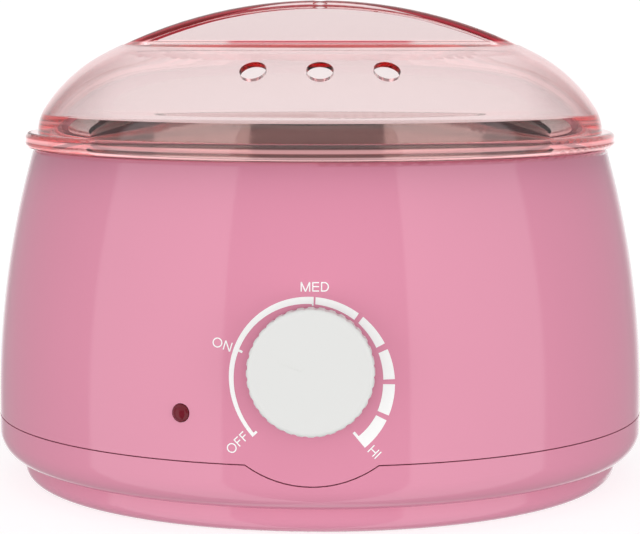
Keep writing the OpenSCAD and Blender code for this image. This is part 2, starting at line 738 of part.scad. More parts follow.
module indicator_lens() color(red) lamp_frame() rotate_extrude() {
    intersection() {
        disc2d(0, lens_h - lens_dome_r, lens_dome_r);
        box2d(0, lens_r, 0, lens_h);
    }
    box2d(0, lens_r, -lens_seat - lens_flange_t, over / 4);
    box2d(0, lens_flange_r, -lens_seat - lens_flange_t, -lens_seat);
}

module lamp_holder() color(white) lamp_frame() translate([0, 0, -holder_end])
    tube(holder_r, neon_r + fit, holder_end - lens_seat - lens_flange_t);

module indicator_lamp() color(clear_pink) lamp_frame() translate([0, 0, -lens_seat - lens_flange_t - fit])
    rotate([180, 0, 0]) rotate_extrude() {
        box2d(0, neon_r, neon_r, holder_end - lens_seat - lens_flange_t - fit);
        disc2d(0, neon_r, neon_r);
    }

module terminal_block() color(white) difference() {
    translate([-block_l / 2, block_y - block_w / 2, block_z]) cube([block_l, block_w, block_h]);
    for (x = [-block_screw_x, block_screw_x]) translate([x, block_y, block_z - over])
        cylinder(r = block_screw_r + fit, h = block_h + 2 * over);
    for (x = [-block_clamp_x, block_clamp_x]) translate([x, block_y, block_z + block_h - block_clamp_depth])
        cylinder(r = block_clamp_r, h = block_clamp_depth + over);
}

module terminal_screws() color(steel) {
    for (x = [-block_screw_x, block_screw_x]) translate([x, block_y, block_z + block_h]) rotate([180, 0, 0])
        screw(block_screw_r, block_h + block_boss_h, block_head_r, block_head_h);
    for (x = [-block_clamp_x, block_clamp_x]) translate([x, block_y, block_z + block_h - block_clamp_depth])
        cylinder(r = block_clamp_r - screw_fit, h = block_clamp_depth - over);
}

module cord_gland() color(dark) gland_frame(0) rotate_extrude() difference() {
    union() {
        box2d(0, gland_neck_r, gland_in_y - gland_flange_t, gland_out_y + gland_flange_t);
        box2d(0, gland_flange_r, gland_in_y - gland_flange_t, gland_in_y);
        box2d(0, gland_flange_r, gland_out_y, gland_out_y + gland_flange_t);
    }
    box2d(0, cord_r, 0, body_d);
}

module lead_line() color(brown) wire(line_route, wire_r);
module lead_switched() color(brown) wire(switched_route, wire_r);
module lead_fuse() color(brown) wire(fuse_route, wire_r);
module lead_neutral() color(blue) wire(neutral_route, wire_r);
module lamp_leads() color(blue) for (s = [-lamp_wire_x, lamp_wire_x])
    wire([for (p = lamp_route) p + s * lamp_side], wire_r);

// Lid from its axis: what lies below its three arcs, each drawn in by the inset. The two lower arcs
// are a hair larger than tangent, so that each runs into the arc above it with a clean edge
module arc_above(x, z, r, z0) intersection() {
    translate([x, z]) circle(r = r);
    box2d(0, body_r, z0, lid_top_z + over);
}
module dome_section(inset) {
    corner_top_z = corner_z + (corner_r - inset) * cos(corner_tilt);
    shoulder_top_z = shoulder_z + (shoulder_r - inset) * cos(crown_tilt);
    box2d(0, corner_x, lid_seat_z, corner_top_z + over);
    box2d(0, shoulder_x, lid_seat_z, shoulder_top_z + over);
    arc_above(corner_x, corner_z, corner_r - inset + 2 * blend, lid_seat_z + over);
    arc_above(shoulder_x, shoulder_z, shoulder_r - inset + blend, corner_top_z);
    arc_above(0, crown_z, crown_r - inset, shoulder_top_z);
}

// Round-edged flange below the dome, with the lip that centres the lid
module flange_section() {
    flange_r = rim_r + flange_out;
    box2d(0, flange_r - flange_round, lid_seat_z, lid_seat_z + flange_h);
    box2d(0, flange_r, lid_seat_z + flange_round, lid_seat_z + flange_h - flange_round);
    for (z = [flange_round, flange_h - flange_round])
        disc2d(flange_r - flange_round, lid_seat_z + z, flange_round);
    box2d(0, lip_r, lid_seat_z - lip_h, lid_seat_z + over);
}

// Section across the handle: flanks with draft, and a fillet along the foot of each
module fin_section(inset, flat_z, fillet_r) {
    top = fin_w / 2 - inset;
    foot = top + fin_draft;
    polygon([[-top, lid_top_z + over], [-foot, flat_z + fillet_r], [-foot, flat_z - over],
        [foot, flat_z - over], [foot, flat_z + fillet_r], [top, lid_top_z + over]]);
    if (fillet_r > 0) for (m = [0, 1]) mirror([m, 0]) difference() {
        translate([0, flat_z - over]) square([foot + fillet_r, fillet_r + over]);
        translate([foot + fillet_r - blend, flat_z + fillet_r - blend]) circle(r = fillet_r);
    }
}

// What lies below the handle's crest, which is crowned across and follows the crown lengthwise
module crest_bar(inset) translate([0, 0, crown_z]) rotate([90, 0, 0]) rotate_extrude() {
    box2d(0, crest_ring_r, -body_r, body_r);
    translate([crest_ring_r, 0]) rotate(180) circle(r = crest_r - inset);
}

// What the finger recesses take away on both sides of the handle and above its crest
module recesses(inset, flat_z, fillet_r) difference() {
    translate([-body_r, -body_r, flat_z]) cube([body_d, body_d, body_d]);
    intersection() {
        rotate([90, 0, 90]) translate([0, 0, -body_d]) linear_extrude(2 * body_d)
            fin_section(inset, flat_z, fillet_r);
        crest_bar(inset);
    }
}

module lid() color(clear_pink, 0.5) rotate([0, 0, lid_turn]) difference() {
    rotate_extrude() {
        dome_section(0);
        flange_section();
    }
    recesses(0, recess_z, fin_foot_r);
    difference() {
        rotate_extrude() {
            intersection() {
                dome_section(lid_t);
                box2d(0, lip_r - lip_t, 0, lid_top_z);
            }
            box2d(0, lip_r - lip_t, 0, corner_z);
        }
        recesses(lid_t, recess_z - lid_t, 0);
    }
    translate([0, 0, gate_ball_z]) rotate([90, 0, 0]) sphere(r = gate_ball_r);
    for (a = [-steam_pitch, 0, steam_pitch]) rotate([0, 0, a]) translate([0, -shoulder_x, shoulder_z])
        rotate([steam_tilt, 0, 0]) translate([0, 0, shoulder_r - lid_t - over])
            cylinder(r = steam_r, h = lid_t + 2 * over);
}

upper_housing();
base_housing();
rubber_pads();
base_screws();
heater_well();
well_seal_ring();
heating_plate();
heating_element();
heat_shield();
clamp_strap();
strap_screws();
strap_nut();
thermal_fuse();
fuse_clip();
fuse_clip_screws();
thermostat_body();
thermostat_tabs();
thermostat_bush();
thermostat_nut();
thermostat_spindle();
control_knob();
indicator_lens();
indicator_lamp();
lamp_holder();
terminal_block();
terminal_screws();
cord_gland();
lead_line();
lead_switched();
lead_fuse();
lead_neutral();
lamp_leads();
wax_pot();
lid();
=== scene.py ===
# Looks of a round table-top wax warmer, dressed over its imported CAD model. Metres.
import json
import math

import bpy
import bmesh
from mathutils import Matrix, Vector


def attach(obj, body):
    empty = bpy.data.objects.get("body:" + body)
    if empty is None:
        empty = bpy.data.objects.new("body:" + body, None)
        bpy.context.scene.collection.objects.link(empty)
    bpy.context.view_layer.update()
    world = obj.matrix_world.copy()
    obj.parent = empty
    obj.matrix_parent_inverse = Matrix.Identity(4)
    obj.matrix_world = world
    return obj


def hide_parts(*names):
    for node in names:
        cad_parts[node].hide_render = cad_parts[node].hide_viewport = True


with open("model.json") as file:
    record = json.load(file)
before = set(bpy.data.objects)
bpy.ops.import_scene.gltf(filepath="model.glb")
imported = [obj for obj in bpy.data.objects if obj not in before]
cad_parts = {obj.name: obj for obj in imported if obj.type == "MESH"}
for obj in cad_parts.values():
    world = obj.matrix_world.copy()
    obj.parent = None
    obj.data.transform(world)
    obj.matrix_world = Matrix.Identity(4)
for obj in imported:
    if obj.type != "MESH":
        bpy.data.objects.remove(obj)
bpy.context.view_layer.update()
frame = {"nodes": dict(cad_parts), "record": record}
scene = bpy.context.scene
nodes = frame["nodes"]

# Sizes shared with the CAD model
BODY_R = 0.090
BELLY_Z = 0.020
SIDE_R = 0.255
KNOB_Z = 0.0420
POT_R = 0.0643
FIN_HALF = 0.004
FIN_END = 0.0555
RECESS_Z = 0.11987
RIM_TOP = 0.0960
RIM_IN = 0.0788
LID_WALL = 0.0016

# Arcs of the lid's outline from its corner up to its crown: the radius and height of the arc's middle, the
# arc's own radius, and the angles from upright, in degrees, between which it runs
LID_ARCS = (
    (0.066471, 0.0960, 0.012, 57.0, 90.0),
    (0.039634, 0.078572, 0.044, 27.8, 57.0),
    (0.0, 0.003376, 0.129, 0.0, 27.8),
)
CROWN_Z, CROWN_R = LID_ARCS[2][1:3]


def side_x(z):
    """Radius of the housing's bulged wall at a height."""
    return BODY_R - SIDE_R + math.sqrt(SIDE_R**2 - (z - BELLY_Z) ** 2)


def lean(z):
    """Angle by which the wall leans back at a height."""
    return math.asin((z - BELLY_Z) / SIDE_R)


# Materials

PLASTIC_IOR = 1.5
NOISE_RANGE = (0.3, 0.7)


class Shader:
    """One procedural material built node by node."""

    def __init__(self, name):
        self.material = bpy.data.materials.new(name)
        self.material.use_nodes = True
        self.tree = self.material.node_tree
        self.tree.nodes.clear()
        self.output = self.tree.nodes.new("ShaderNodeOutputMaterial")
        self.shader = self.add("ShaderNodeBsdfPrincipled")
        self.link(self.shader, "BSDF", self.output, "Surface")

    def add(self, kind, **values):
        """Adds a node with its settings."""
        node = self.tree.nodes.new(kind)
        for key, value in values.items():
            setattr(node, key, value)
        return node

    def link(self, a, out, b, into):
        """Links two nodes by the names of their sockets."""
        self.tree.links.new(a.outputs[out], b.inputs[into])

    def feed(self, socket, into):
        """Links a socket to one of the main shader's inputs."""
        self.tree.links.new(socket, self.shader.inputs[into])

    def set(self, **values):
        """Sets inputs of the main shader, with _ for the spaces in their names."""
        for key, value in values.items():
            self.shader.inputs[key.replace("_", " ")].default_value = value

    def axes(self):
        """Sockets of the place on the piece, along X, Y and Z."""
        coords = self.add("ShaderNodeTexCoord")
        split = self.add("ShaderNodeSeparateXYZ")
        self.link(coords, "Object", split, "Vector")
        return split.outputs["X"], split.outputs["Y"], split.outputs["Z"]

    def noise(self, scale, detail=3.0, rough=0.5):
        """Noise fixed to the piece."""
        coords = self.add("ShaderNodeTexCoord")
        noise = self.add("ShaderNodeTexNoise")
        noise.inputs["Scale"].default_value = scale
        noise.inputs["Detail"].default_value = detail
        noise.inputs["Roughness"].default_value = rough
        self.link(coords, "Object", noise, "Vector")
        return noise

    def span(self, noise, low, high):
        """The usual range of a noise brought between two values."""
        ramp = self.add("ShaderNodeMapRange")
        ramp.inputs["From Min"].default_value = NOISE_RANGE[0]
        ramp.inputs["From Max"].default_value = NOISE_RANGE[1]
        ramp.inputs["To Min"].default_value = low
        ramp.inputs["To Max"].default_value = high
        self.link(noise, "Fac", ramp, "Value")
        return ramp.outputs["Result"]

    def math(self, operation, a, b=None):
        """Result of an operation on one or two numbers or sockets."""
        node = self.add("ShaderNodeMath", operation=operation)
        for i, value in enumerate((a, b)):
            if isinstance(value, (int, float)):
                node.inputs[i].default_value = value
            elif value is not None:
                self.tree.links.new(value, node.inputs[i])
        return node.outputs[0]

    def step(self, value, low, high):
        """Soft step from 0 to 1 between two values, which may run downwards."""
        node = self.add("ShaderNodeMapRange", interpolation_type="SMOOTHSTEP")
        node.inputs["From Min"].default_value = low
        node.inputs["From Max"].default_value = high
        self.tree.links.new(value, node.inputs["Value"])
        return node.outputs[0]

    def between(self, value, marks):
        """Soft step up between the first two of four marks, and down between the last two."""
        up = self.step(value, marks[0], marks[1])
        down = self.step(value, marks[3], marks[2])
        return self.math("MULTIPLY", up, down)

    def mixed(self, share, low, high):
        """Mix of two colours, each given as numbers or as a socket."""
        mix = self.add("ShaderNodeMix", data_type="RGBA")
        self.tree.links.new(share, mix.inputs[0])
        for i, value in ((6, low), (7, high)):
            if isinstance(value, tuple):
                mix.inputs[i].default_value = (*value, 1)
            else:
                self.tree.links.new(value, mix.inputs[i])
        return mix.outputs[2]

    def bump(self, noise, strength, distance):
        """Fine relief from a noise."""
        bump = self.add("ShaderNodeBump")
        bump.inputs["Strength"].default_value = strength
        bump.inputs["Distance"].default_value = distance
        self.link(noise, "Fac", bump, "Height")
        self.link(bump, "Normal", self.shader, "Normal")


def shade(colour, factor):
    """A colour made darker or lighter."""
    return tuple(min(1.0, c * factor) for c in colour)


def plastic(name, colour, rough, vary, grain, depth, spread):
    """Moulded plastic with a faint cloud in its colour and a fine grain."""
    s = Shader(name)
    cloud = s.span(s.noise(18.0, 2.0), 0.0, 1.0)
    s.feed(s.mixed(cloud, shade(colour, 1 - vary), shade(colour, 1 + vary)), "Base Color")
    fine = s.noise(grain, 4.0)
    s.feed(s.span(fine, rough - spread, rough + spread), "Roughness")
    s.bump(fine, 0.25, depth)
    s.set(IOR=PLASTIC_IOR)
    return s


def metal(name, colour, rough):
    """Plain metal with a fine grain."""
    s = Shader(name)
    grain = s.noise(700.0, 5.0, 0.6)
    s.feed(s.mixed(s.span(grain, 0.0, 1.0), shade(colour, 0.92), shade(colour, 1.08)), "Base Color")
    s.feed(s.span(grain, rough - 0.06, rough + 0.06), "Roughness")
    s.bump(grain, 0.3, 0.00003)
    s.set(Metallic=1.0)
    return s


# Painted light on the inside of the pot: a glow that stands in for the light falling through the lid, and
# the heights over which it sets in
POT_PAINTED_LIGHT = (1.0, 0.72, 0.72)
POT_PAINTED_GLOW = 0.34
POT_PAINTED_GLOW_STARTS = (0.0855, 0.0945)

# Radii between which the pot's inner finish gives way to its outer one, and how fine its rings are
POT_SKIN = (POT_R - 0.0006, POT_R - 0.0003)
POT_RINGS = 1400.0


def spun_metal(name, colour, rough, inner_colour, inner_rough):
    """Sheet metal turned on a lathe: fine rings round the axis, a paler finish inside the pot, and painted
    light glowing near the top of its inner wall.
    """
    s = Shader(name)
    x, y, z = s.axes()
    radius = s.math("SQRT", s.math("ADD", s.math("MULTIPLY", x, x), s.math("MULTIPLY", y, y)))
    along = s.add("ShaderNodeCombineXYZ")
    s.tree.links.new(radius, along.inputs["X"])
    s.tree.links.new(z, along.inputs["Y"])
    s.tree.links.new(s.math("MULTIPLY", s.math("ARCTAN2", y, x), 0.002), along.inputs["Z"])
    rings = s.add("ShaderNodeTexNoise")
    rings.inputs["Scale"].default_value = POT_RINGS
    rings.inputs["Detail"].default_value = 4.0
    s.link(along, "Vector", rings, "Vector")
    grain = s.step(rings.outputs["Fac"], *NOISE_RANGE)
    outside = s.step(radius, *POT_SKIN)
    inner = s.mixed(grain, shade(inner_colour, 0.96), shade(inner_colour, 1.03))
    outer = s.mixed(grain, shade(colour, 0.94), shade(colour, 1.05))
    s.feed(s.mixed(outside, inner, outer), "Base Color")
    finish = s.math("ADD", s.math("MULTIPLY", outside, rough - inner_rough), inner_rough)
    ripple = s.math("MULTIPLY", s.math("SUBTRACT", grain, 0.5), 0.06)
    s.feed(s.math("ADD", finish, ripple), "Roughness")
    s.feed(s.math("ADD", s.math("MULTIPLY", outside, 0.6), 0.4), "Metallic")
    s.bump(rings, 0.02, 0.00001)
    # Painted light: the inside of the pot glows near its top, standing in for light through the lid
    painted_brim_glow = s.math("MULTIPLY", s.math("SUBTRACT", 1.0, outside), s.step(z, *POT_PAINTED_GLOW_STARTS))
    s.feed(s.math("MULTIPLY", painted_brim_glow, POT_PAINTED_GLOW), "Emission Strength")
    s.set(Emission_Color=(*POT_PAINTED_LIGHT, 1))
    return s


def clear(name, tint, absorb, density, rough, ior):
    """Clear coloured plastic or glass, which also takes colour by how far light runs inside it."""
    s = Shader(name)
    s.feed(s.span(s.noise(60.0), max(0.0, rough - 0.01), rough + 0.01), "Roughness")
    s.bump(s.noise(90.0, 2.0), 0.08, 0.00004)
    s.set(IOR=ior, Transmission_Weight=1.0, Base_Color=(*tint, 1))
    inside = s.add("ShaderNodeVolumeAbsorption")
    inside.inputs["Color"].default_value = (*absorb, 1)
    inside.inputs["Density"].default_value = density
    s.link(inside, "Volume", s.output, "Volume")
    return s


# Colours of the lid: straight through, painted deep red at grazing edges, inside its wall, and painted deep
# red with a red painted gloss at its handle's crest; the painted reds stand in for light that runs long ways
# inside the plastic
LID_TINT = (0.945, 0.95, 0.95)
LID_PAINTED_EDGE = (0.50, 0.03, 0.06)
LID_ABSORB = (0.86, 0.0, 0.014)
LID_DENSITY = 71.0
LID_ROUGH = 0.008
LID_PAINTED_CREST = (0.17, 0.0003, 0.0015)
CREST_PAINTED_GLOSS = (0.4, 0.015, 0.04)

# Range of the facing weight over which the grazing edge's painted deep red sets in
PAINTED_EDGE_STARTS = (0.70, 0.97)

# The crest's painted deep red: its depth in the middle, what it gains out to the ends, where it gains that,
# how far it runs to a point at the handle's ends and over the handle's sides, and the strip left free on top
CREST_DEPTH = 0.0007
CREST_GAIN = 0.0014
CREST_SWELL = (0.004, 0.040)
CREST_POINT = (0.0035, -0.001)
CREST_OVER = 0.0014
CREST_FREE = (0.0004, 0.0012)
CREST_SOFT = (-0.0001, 0.0001)
CREST_SIDE_SOFT = (0.0, 0.0004)

# Painted glow in the lid's rim, standing in for light gathered there, stronger in two bands, and along its
# handle's foot, red in the middle
RIM_PAINTED_LIGHT = (0.75, 0.43, 0.45)
RIM_HEIGHTS = (RIM_TOP + 0.0006, RIM_TOP)
RIM_RADII = (RIM_IN - 0.0004, RIM_IN)
RIM_PAINTED_GLOW = 0.05
RIM_BAND_PAINTED_GLOW = 0.5
RIM_BANDS = (
    (0.0935, 0.0938, 0.0944, 0.0949),
    (0.0920, 0.0923, 0.0926, 0.0929),
)
FOOT_PAINTED_RED = (0.75, 0.12, 0.17)
FOOT_PAINTED_PALE = (0.95, 0.78, 0.78)
FOOT_PAINTED_GLOW = 0.3
FOOT_MIDDLE = (0.0275, 0.0235)
FOOT_HEIGHTS = (RECESS_Z - 0.0002, RECESS_Z, RECESS_Z + 0.0006, RECESS_Z + 0.0012)
FOOT_REACH = (FIN_HALF + 0.0035, FIN_HALF + 0.0025)


def lid_plastic(name):
    """Clear pink plastic with deep red painted on its grazing edges and its handle's crest, and a painted
    glow in its rim and along its handle's foot.
    """
    s = clear(name, LID_TINT, LID_ABSORB, LID_DENSITY, LID_ROUGH, PLASTIC_IOR)
    x, y, z = s.axes()
    across = s.math("ABSOLUTE", x)
    aside = s.math("ABSOLUTE", y)
    flat = s.math("ADD", s.math("MULTIPLY", x, x), s.math("MULTIPLY", y, y))

    rise = s.math("SUBTRACT", z, CROWN_Z)
    radius = s.math("SQRT", s.math("ADD", flat, s.math("MULTIPLY", rise, rise)))
    depth = s.math("SUBTRACT", CROWN_R, radius)
    swell = s.math("MULTIPLY", s.step(across, *CREST_SWELL), CREST_GAIN)
    near = s.step(s.math("SUBTRACT", s.math("ADD", swell, CREST_DEPTH), depth), *CREST_SOFT)
    point = s.step(across, FIN_END + CREST_POINT[0], FIN_END + CREST_POINT[1])
    width = s.math("MULTIPLY", point, FIN_HALF + CREST_OVER)
    within = s.step(s.math("SUBTRACT", width, aside), *CREST_SIDE_SOFT)
    painted_crest = s.math("MULTIPLY", near, s.math("MULTIPLY", within, s.step(aside, *CREST_FREE)))
    # Painted deep red at the grazing edges by the facing weight, and on the crest with a red painted gloss
    weight = s.add("ShaderNodeLayerWeight")
    weight.inputs["Blend"].default_value = 0.5
    body = s.mixed(s.step(weight.outputs["Facing"], *PAINTED_EDGE_STARTS), LID_TINT, LID_PAINTED_EDGE)
    s.feed(s.mixed(painted_crest, body, LID_PAINTED_CREST), "Base Color")
    s.feed(s.mixed(painted_crest, (1.0, 1.0, 1.0), CREST_PAINTED_GLOSS), "Specular Tint")

    # Painted light: the rim and the handle's foot glow, though they are no lamps
    rim = s.math("MULTIPLY", s.step(z, *RIM_HEIGHTS), s.step(s.math("SQRT", flat), *RIM_RADII))
    bands = s.math("ADD", s.between(z, RIM_BANDS[0]), s.between(z, RIM_BANDS[1]))
    rim_painted_glow = s.math("ADD", s.math("MULTIPLY", bands, RIM_BAND_PAINTED_GLOW), RIM_PAINTED_GLOW)
    foot = s.math("MULTIPLY", s.step(aside, *FOOT_REACH), s.between(z, FOOT_HEIGHTS))
    painted_glow = s.math("ADD", s.math("MULTIPLY", rim, rim_painted_glow), s.math("MULTIPLY", foot, FOOT_PAINTED_GLOW))
    s.feed(painted_glow, "Emission Strength")
    foot_painted_light = s.mixed(s.step(across, *FOOT_MIDDLE), FOOT_PAINTED_PALE, FOOT_PAINTED_RED)
    s.feed(s.mixed(foot, RIM_PAINTED_LIGHT, foot_painted_light), "Emission Color")
    return s


# Plastics: colour, roughness, share by which the colour varies, and the grain's fineness, depth and spread
PLASTICS = {
    "housing_pink": ((0.762, 0.283, 0.408), 0.06, 0.008, 700.0, 0.000003, 0.015),
    "knob_white": ((0.775, 0.775, 0.76), 0.38, 0.01, 1500.0, 0.00002, 0.05),
    "lens_red": ((0.17, 0.006, 0.018), 0.08, 0.1, 400.0, 0.000005, 0.02),
    "pad_rubber": ((0.035, 0.035, 0.037), 0.7, 0.2, 1500.0, 0.00005, 0.1),
    "phenolic": ((0.16, 0.075, 0.035), 0.5, 0.15, 1200.0, 0.00004, 0.08),
    "insulator_white": ((0.78, 0.77, 0.72), 0.5, 0.03, 1200.0, 0.00003, 0.08),
    "wire_brown": ((0.16, 0.06, 0.025), 0.45, 0.1, 1200.0, 0.00003, 0.08),
    "wire_blue": ((0.03, 0.11, 0.36), 0.45, 0.1, 1200.0, 0.00003, 0.08),
    "print_white": ((0.93, 0.93, 0.92), 0.4, 0.01, 1500.0, 0.00001, 0.05),
}

# Metals: colour and roughness
METALS = {
    "steel": ((0.55, 0.56, 0.58), 0.3),
    "heater_alloy": ((0.62, 0.62, 0.63), 0.42),
    "element_steel": ((0.16, 0.15, 0.15), 0.45),
}
looks = {name: plastic(name, *values) for name, values in PLASTICS.items()}
looks.update({name: metal(name, *values) for name, values in METALS.items()})
looks["pot_metal"] = spun_metal("pot_metal", (0.32, 0.33, 0.30), 0.09, (0.86, 0.84, 0.83), 0.45)
looks["lid_clear"] = lid_plastic("lid_clear")
looks["neon_glass"] = clear("neon_glass", (1.0, 0.95, 0.92), (0.9, 0.7, 0.6), 20.0, 0.02, 1.47)
# The print glows faintly: painted light that makes it brighter than the lamps alone
looks["print_white"].set(Emission_Color=(1, 1, 1, 1), Emission_Strength=0.06)
looks["lens_red"].set(Specular_IOR_Level=0.3)
for part in frame["record"]["subparts"]:
    mesh = nodes[part["node"]].data
    mesh.materials.clear()
    mesh.materials.append(looks[part["material_slot"]].material)


# Lid: its solid's mesh with the true normals of its arcs, so that what shows through it isn't torn

# How far a point may lie off an arc, past its ends and above the corner, how near the axis no normal is set,
# how far a new point may move, and how well a face has to agree with an arc's normal or with an upright wall
ON_ARC = 0.00003
ANGLE_SLACK = 0.5
CORNER_SLACK = 8.0
NEAR_AXIS = 0.0001
LONGEST_MOVE = 0.0001
ARC_AGREES = 0.97
WALL_AGREES = 0.99
CORNER_R, CORNER_Z, CORNER_BEND, CORNER_LOW = LID_ARCS[0][:4]


def arc_normal(p):
    """True normal at a point of the lid's round faces, or nothing elsewhere."""
    r = math.hypot(p.x, p.y)
    if r <= NEAR_AXIS:
        return None
    for middle_r, middle_z, radius, low, high in LID_ARCS:
        away = Vector((r - middle_r, p.z - middle_z))
        tilt = math.degrees(math.atan2(away.x, away.y))
        for reach, side in ((radius, 1), (radius - LID_WALL, -1)):
            in_arc = low - ANGLE_SLACK <= tilt <= high + ANGLE_SLACK
            if in_arc and abs(away.length - reach) < ON_ARC:
                n = away.normalized() * side
                return Vector((n.x * p.x / r, n.x * p.y / r, n.y))
    return None


def at_corner(p):
    """Tells whether a point lies on the lid's round corner or just above it."""
    away = Vector((math.hypot(p.x, p.y) - CORNER_R, p.z - CORNER_Z))
    steep = math.degrees(math.atan2(away.x, away.y)) > CORNER_LOW - CORNER_SLACK
    return away.y > 0 and steep and arc_normal(p) is not None


def on_corner(p):
    """Nearest point of the lid's round corner, outside or inside."""
    r = math.hypot(p.x, p.y)
    away = Vector((r - CORNER_R, p.z - CORNER_Z))
    outside = away.length > CORNER_BEND - LID_WALL / 2
    away = away.normalized() * (CORNER_BEND if outside else CORNER_BEND - LID_WALL)
    return Vector((p.x * (CORNER_R + away.x) / r, p.y * (CORNER_R + away.x) / r, CORNER_Z + away.y))


def round_corner(mesh):
    """Cuts the faces of the lid's corner finer, with each new point on its arc."""
    bm = bmesh.new()
    bm.from_mesh(mesh)
    edges = [e for e in bm.edges if at_corner(e.verts[0].co) and at_corner(e.verts[1].co)]
    cut = bmesh.ops.subdivide_edges(bm, edges=edges, cuts=2, use_grid_fill=True)
    for item in cut["geom_inner"]:
        if isinstance(item, bmesh.types.BMVert):
            near = on_corner(item.co)
            if (near - item.co).length < LONGEST_MOVE:
                item.co = near
    bmesh.ops.triangulate(bm, faces=[f for f in bm.faces if len(f.verts) > 3])
    bm.to_mesh(mesh)
    bm.free()


def set_true_normals(mesh):
    """Gives the lid's round faces, also the upright ones of its rim, the normals of their true forms."""
    arcs = [arc_normal(v.co) for v in mesh.vertices]
    normals = [c.vector.copy() for c in mesh.corner_normals]
    for face in mesh.polygons:
        for corner in face.loop_indices:
            index = mesh.loops[corner].vertex_index
            p = mesh.vertices[index].co
            level = Vector((p.x, p.y, 0)).normalized()
            facing = level.dot(face.normal)
            if arcs[index] and arcs[index].dot(face.normal) > ARC_AGREES:
                normals[corner] = arcs[index]
            elif math.hypot(p.x, p.y) > POT_R and abs(facing) > WALL_AGREES:
                normals[corner] = level * math.copysign(1, facing)
    mesh.normals_split_custom_set(normals)


lid_mesh = nodes["lid"].data.copy()
lid_mesh.name = "lid_polished"
round_corner(lid_mesh)
set_true_normals(lid_mesh)
lid_shown = bpy.data.objects.new("lid_polished", lid_mesh)
scene.collection.objects.link(lid_shown)
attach(lid_shown, "lid")
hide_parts("lid")


# Printed dial: strokes drawn flat in the plane of the dial, then laid on the wall

PRINT_LIFT = 0.00004
RING_MIDDLE = (0.0, -0.0028)
RING_R = 0.02025
RING_OVAL = 0.00045
RING_LEAN = 125.0

# Bands of the ring: the angles and widths at which each starts and ends, and how many faces it has
RING_BANDS = (
    (222.7, 157.8, 0.0009, 0.0013, 48),
    (157.8, 89.1, 0.0013, 0.00175, 48),
    (87.4, 55.3, 0.00175, 0.0019, 24),
    (51.5, 27.2, 0.0019, 0.0023, 24),
    (22.7, 1.0, 0.0024, 0.0028, 24),
    (-2.6, -24.5, 0.0029, 0.0030, 24),
    (-28.0, -50.6, 0.0029, 0.0032, 24),
)

# Bars across the ring: angle, length inwards from the outer edge, and width
RING_BARS = (
    (222.9, 0.0017, 0.0006),
    (157.8, 0.0023, 0.0006),
    (89.3, 0.0021, 0.0004),
    (-50.6, 0.0047, 0.0007),
)

# Words: name, text, middle in the plane of the dial, and turn in degrees
DIAL_WORDS = (
    ("dial_word_med", "MED", (0.0007, 0.0200), 0),
    ("dial_word_on", "ON", (-0.0218, 0.0058), -17),
    ("dial_word_off", "OFF", (-0.0181, -0.0181), 45),
    ("dial_word_hi", "HI", (0.0152, -0.0201), -45),
)
LETTER_H = 0.0023
LETTER_STROKE = 0.0003
LETTER_GAP = 0.00045

# Widths of the letters and heights of their crossbars as shares of their height, and the reach of F's lower
# arm and of D's flat part as shares of their width
LETTER_W = {"O": 1.06, "F": 0.62, "N": 0.84, "M": 1.02, "E": 0.72, "D": 0.84, "H": 0.84, "I": 0.13}
CROSSBAR = 0.52
H_CROSSBAR = 0.5
F_ARM = 0.9
D_FLAT = 0.45


def wall_point(u, v):
    """Point of the wall under the dial's plane, u to the right and v up from the knob's axis."""
    z = KNOB_Z + v * math.cos(lean(KNOB_Z))
    y = -math.sqrt(side_x(z) ** 2 - u * u)
    out = Vector((u, y, 0)).normalized() * math.cos(lean(z))
    return Vector((u, y, z)) + PRINT_LIFT * Vector((out.x, out.y, math.sin(lean(z))))


def strip(bm, left, right):
    """Band of quads between two rows of points of the dial's plane."""
    a = [bm.verts.new(wall_point(*p)) for p in left]
    b = [bm.verts.new(wall_point(*p)) for p in right]
    for i in range(len(a) - 1):
        bm.faces.new((a[i], b[i], b[i + 1], a[i + 1]))


def bar(bm, a, b, width, place=tuple, steps=4):
    """Straight stroke between two points."""
    d = Vector((b[0] - a[0], b[1] - a[1]))
    n = Vector((-d.y, d.x)).normalized() * width / 2
    points = [Vector(a) + d * i / steps for i in range(steps + 1)]
    strip(bm, [place(p + n) for p in points], [place(p - n) for p in points])


def oval(bm, middle, radii, width, place, start=0, end=360, steps=32):
    """Round stroke, all round or part of the way."""
    turns = [math.radians(start + (end - start) * i / steps) for i in range(steps + 1)]
    rows = []
    for inset in (0.0, width):
        rx, ry = radii[0] - inset, radii[1] - inset
        points = [Vector((middle[0] + rx * math.cos(t), middle[1] + ry * math.sin(t))) for t in turns]
        rows.append([place(p) for p in points])
    strip(bm, *rows)


def on_ring(angle, inset):
    """Point of the dial's plane that lies inside the outer edge of the printed ring, a little oval."""
    a = math.radians(angle)
    r = RING_R + RING_OVAL * math.cos(2 * (a - math.radians(RING_LEAN))) - inset
    return (RING_MIDDLE[0] + r * math.cos(a), RING_MIDDLE[1] + r * math.sin(a))


def ring_band(bm, start, end, width, end_width, steps):
    """Part of the ring from one angle to another, which swells from one width to the other."""
    shares = [i / steps for i in range(steps + 1)]
    angles = [start + (end - start) * t for t in shares]
    widths = [width + (end_width - width) * t for t in shares]
    strip(bm, [on_ring(a, 0.0) for a in angles], [on_ring(a, w) for a, w in zip(angles, widths)])


